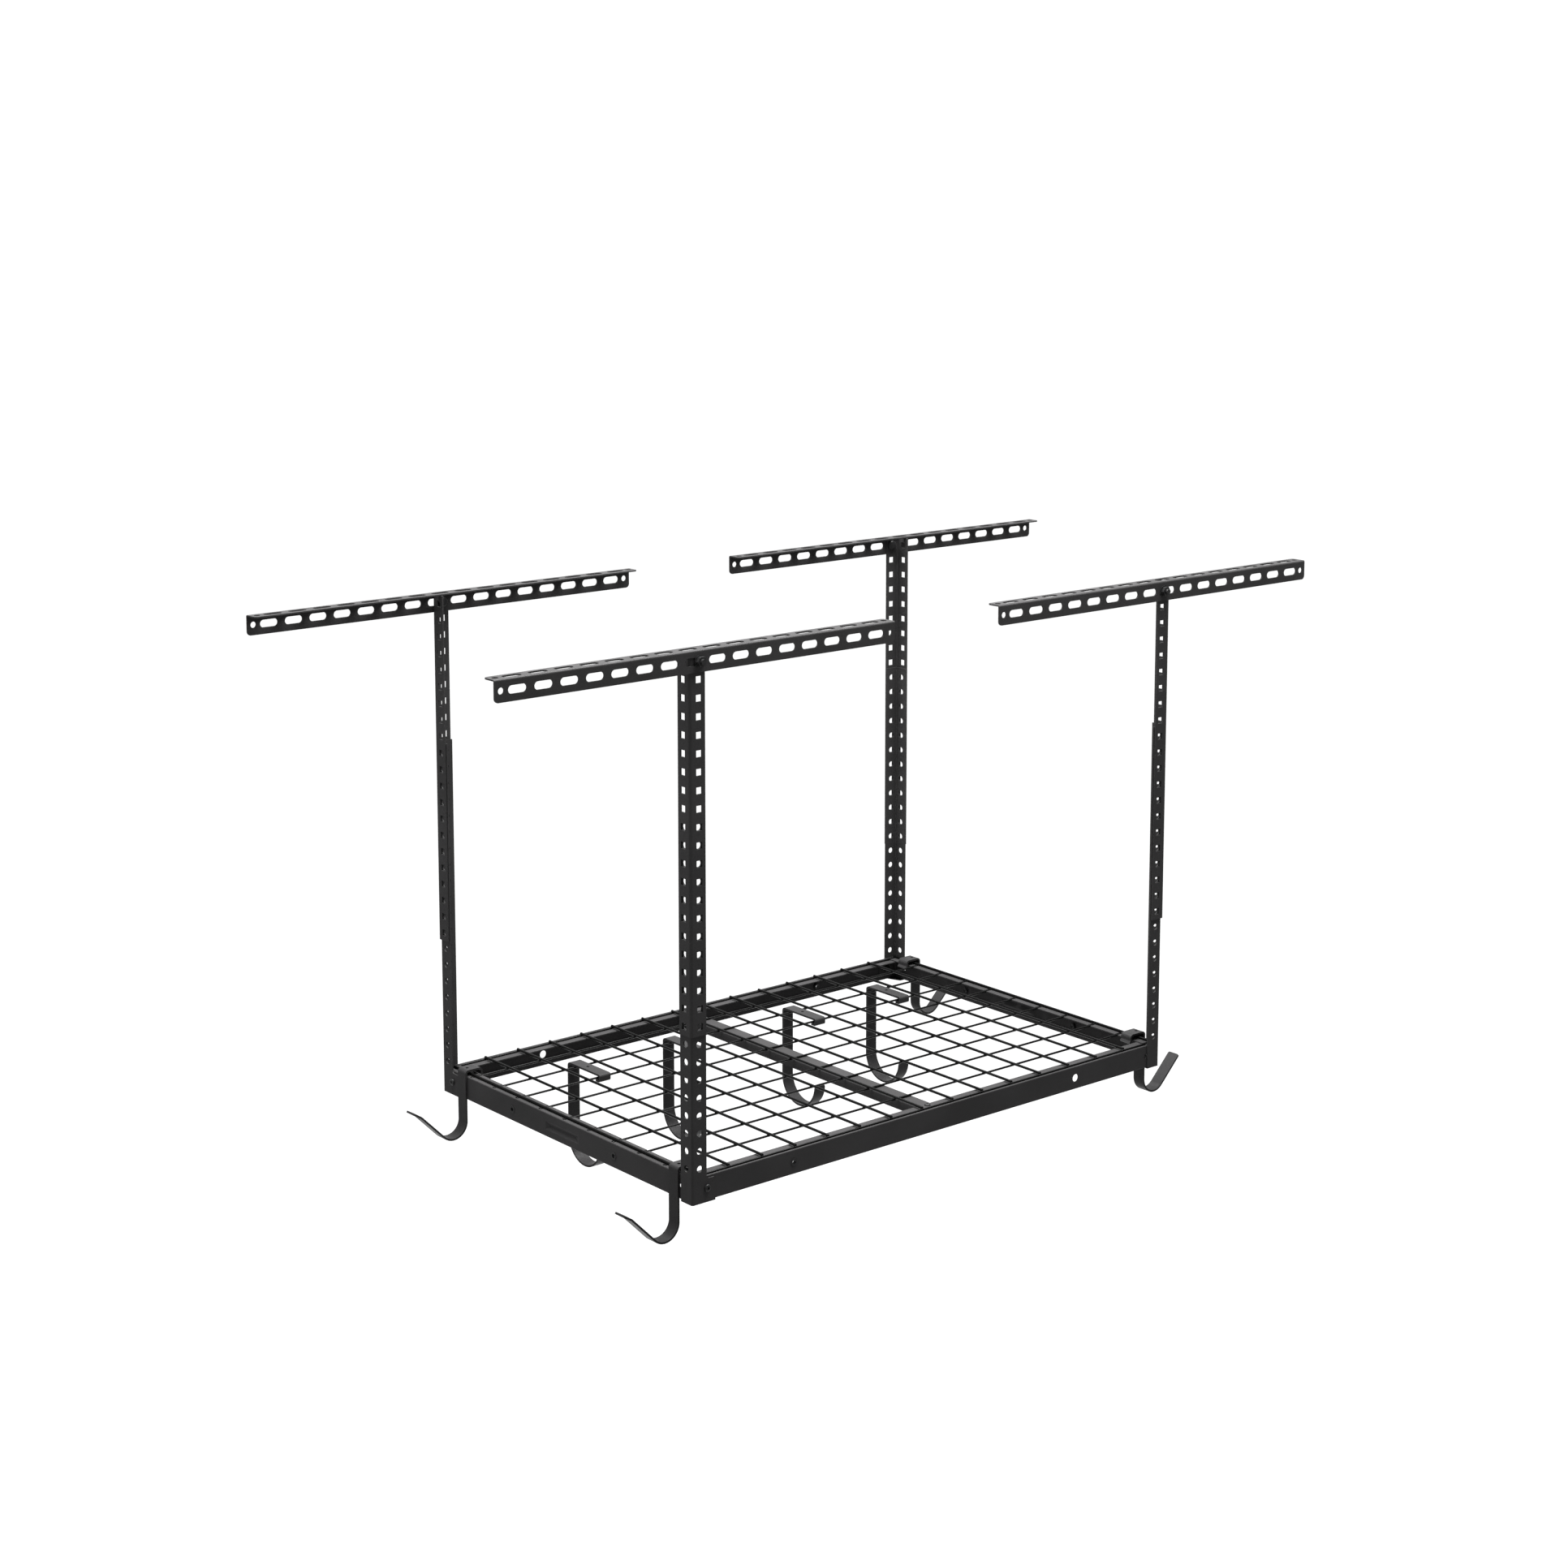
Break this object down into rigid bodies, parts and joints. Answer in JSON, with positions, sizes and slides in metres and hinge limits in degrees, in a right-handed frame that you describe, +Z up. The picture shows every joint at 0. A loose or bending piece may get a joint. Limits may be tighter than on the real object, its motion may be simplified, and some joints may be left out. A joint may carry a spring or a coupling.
{
  "type": "ceiling storage rack",
  "caption": "Ceiling-hung storage rack: slotted angle brackets and telescoping perforated posts carry a folded-steel frame with an open wire deck and clip-on hanging hooks.",
  "frame": {"origin": "centre of the ceiling-screw pattern, in the plane of the brackets' top faces, which is the ceiling", "axes": "+X along the deck's long side, to the right seen from the front; +Y along its short side, from front to rear; +Z up"},
  "size_m": [1.541, 0.641, 0.8773],
  "materials": {
    "frame_steel": "satin black powder coat on folded sheet steel",
    "wire": "satin black powder coat on welded steel wire",
    "hook_bar": "satin black powder coat on bent flat steel bar",
    "fasteners": "black coated steel"
  },
  "bodies": {
    "ceiling_frame": {"ceiling_bracket_front_left": "frame_steel", "ceiling_bracket_front_right": "frame_steel", "ceiling_bracket_rear_left": "frame_steel", "ceiling_bracket_rear_right": "frame_steel", "upper_post_front_left": "frame_steel", "upper_post_front_right": "frame_steel", "upper_post_rear_left": "frame_steel", "upper_post_rear_right": "frame_steel", "bracket_bolts": "fasteners", "bracket_nuts": "fasteners"},
    "deck": {"lower_post_front_left": "frame_steel", "lower_post_front_right": "frame_steel", "lower_post_rear_left": "frame_steel", "lower_post_rear_right": "frame_steel", "front_long_beam": "frame_steel", "rear_long_beam": "frame_steel", "left_end_beam": "frame_steel", "right_end_beam": "frame_steel", "centre_crossbar": "frame_steel", "wire_deck": "wire", "foot_screws": "fasteners", "foot_nuts": "fasteners", "beam_rivet_nuts": "fasteners", "crossbar_screws": "fasteners", "crossbar_nuts": "fasteners"},
    "corner_hook_front_left": {"corner_hook_front_left": "hook_bar"},
    "corner_hook_front_right": {"corner_hook_front_right": "hook_bar"},
    "corner_hook_rear_left": {"corner_hook_rear_left": "hook_bar"},
    "corner_hook_rear_right": {"corner_hook_rear_right": "hook_bar"},
    "utility_hook_1": {"utility_hook_1": "hook_bar"},
    "utility_hook_2": {"utility_hook_2": "hook_bar"},
    "utility_hook_3": {"utility_hook_3": "hook_bar"},
    "utility_hook_4": {"utility_hook_4": "hook_bar"}
  },
  "joints": [
    {"name": "deck_height", "type": "slide", "parent": "ceiling_frame", "child": "deck", "axis": [0, 0, 1], "range_m": [-0.25, 0.2]},
    {"name": "corner_hook_front_left_slide", "type": "slide", "parent": "deck", "child": "corner_hook_front_left", "axis": [0, 1, 0], "range_m": [-0.004, 0.0155]},
    {"name": "corner_hook_front_right_slide", "type": "slide", "parent": "deck", "child": "corner_hook_front_right", "axis": [0, 1, 0], "range_m": [0, 0.0145]},
    {"name": "corner_hook_rear_left_slide", "type": "slide", "parent": "deck", "child": "corner_hook_rear_left", "axis": [0, 1, 0], "range_m": [-0.0045, 0.0012]},
    {"name": "corner_hook_rear_right_slide", "type": "slide", "parent": "deck", "child": "corner_hook_rear_right", "axis": [0, 1, 0], "range_m": [-0.0045, 0.015]},
    {"name": "utility_hook_1_slide", "type": "slide", "parent": "deck", "child": "utility_hook_1", "axis": [1, 0, 0], "range_m": [-0.019, 0.015]},
    {"name": "utility_hook_2_slide", "type": "slide", "parent": "deck", "child": "utility_hook_2", "axis": [1, 0, 0], "range_m": [-0.021, 0.013]},
    {"name": "utility_hook_3_slide", "type": "slide", "parent": "deck", "child": "utility_hook_3", "axis": [1, 0, 0], "range_m": [-0.0235, 0.0105]},
    {"name": "utility_hook_4_slide", "type": "slide", "parent": "deck", "child": "utility_hook_4", "axis": [1, 0, 0], "range_m": [-0.024, 0.01]}
  ]
}
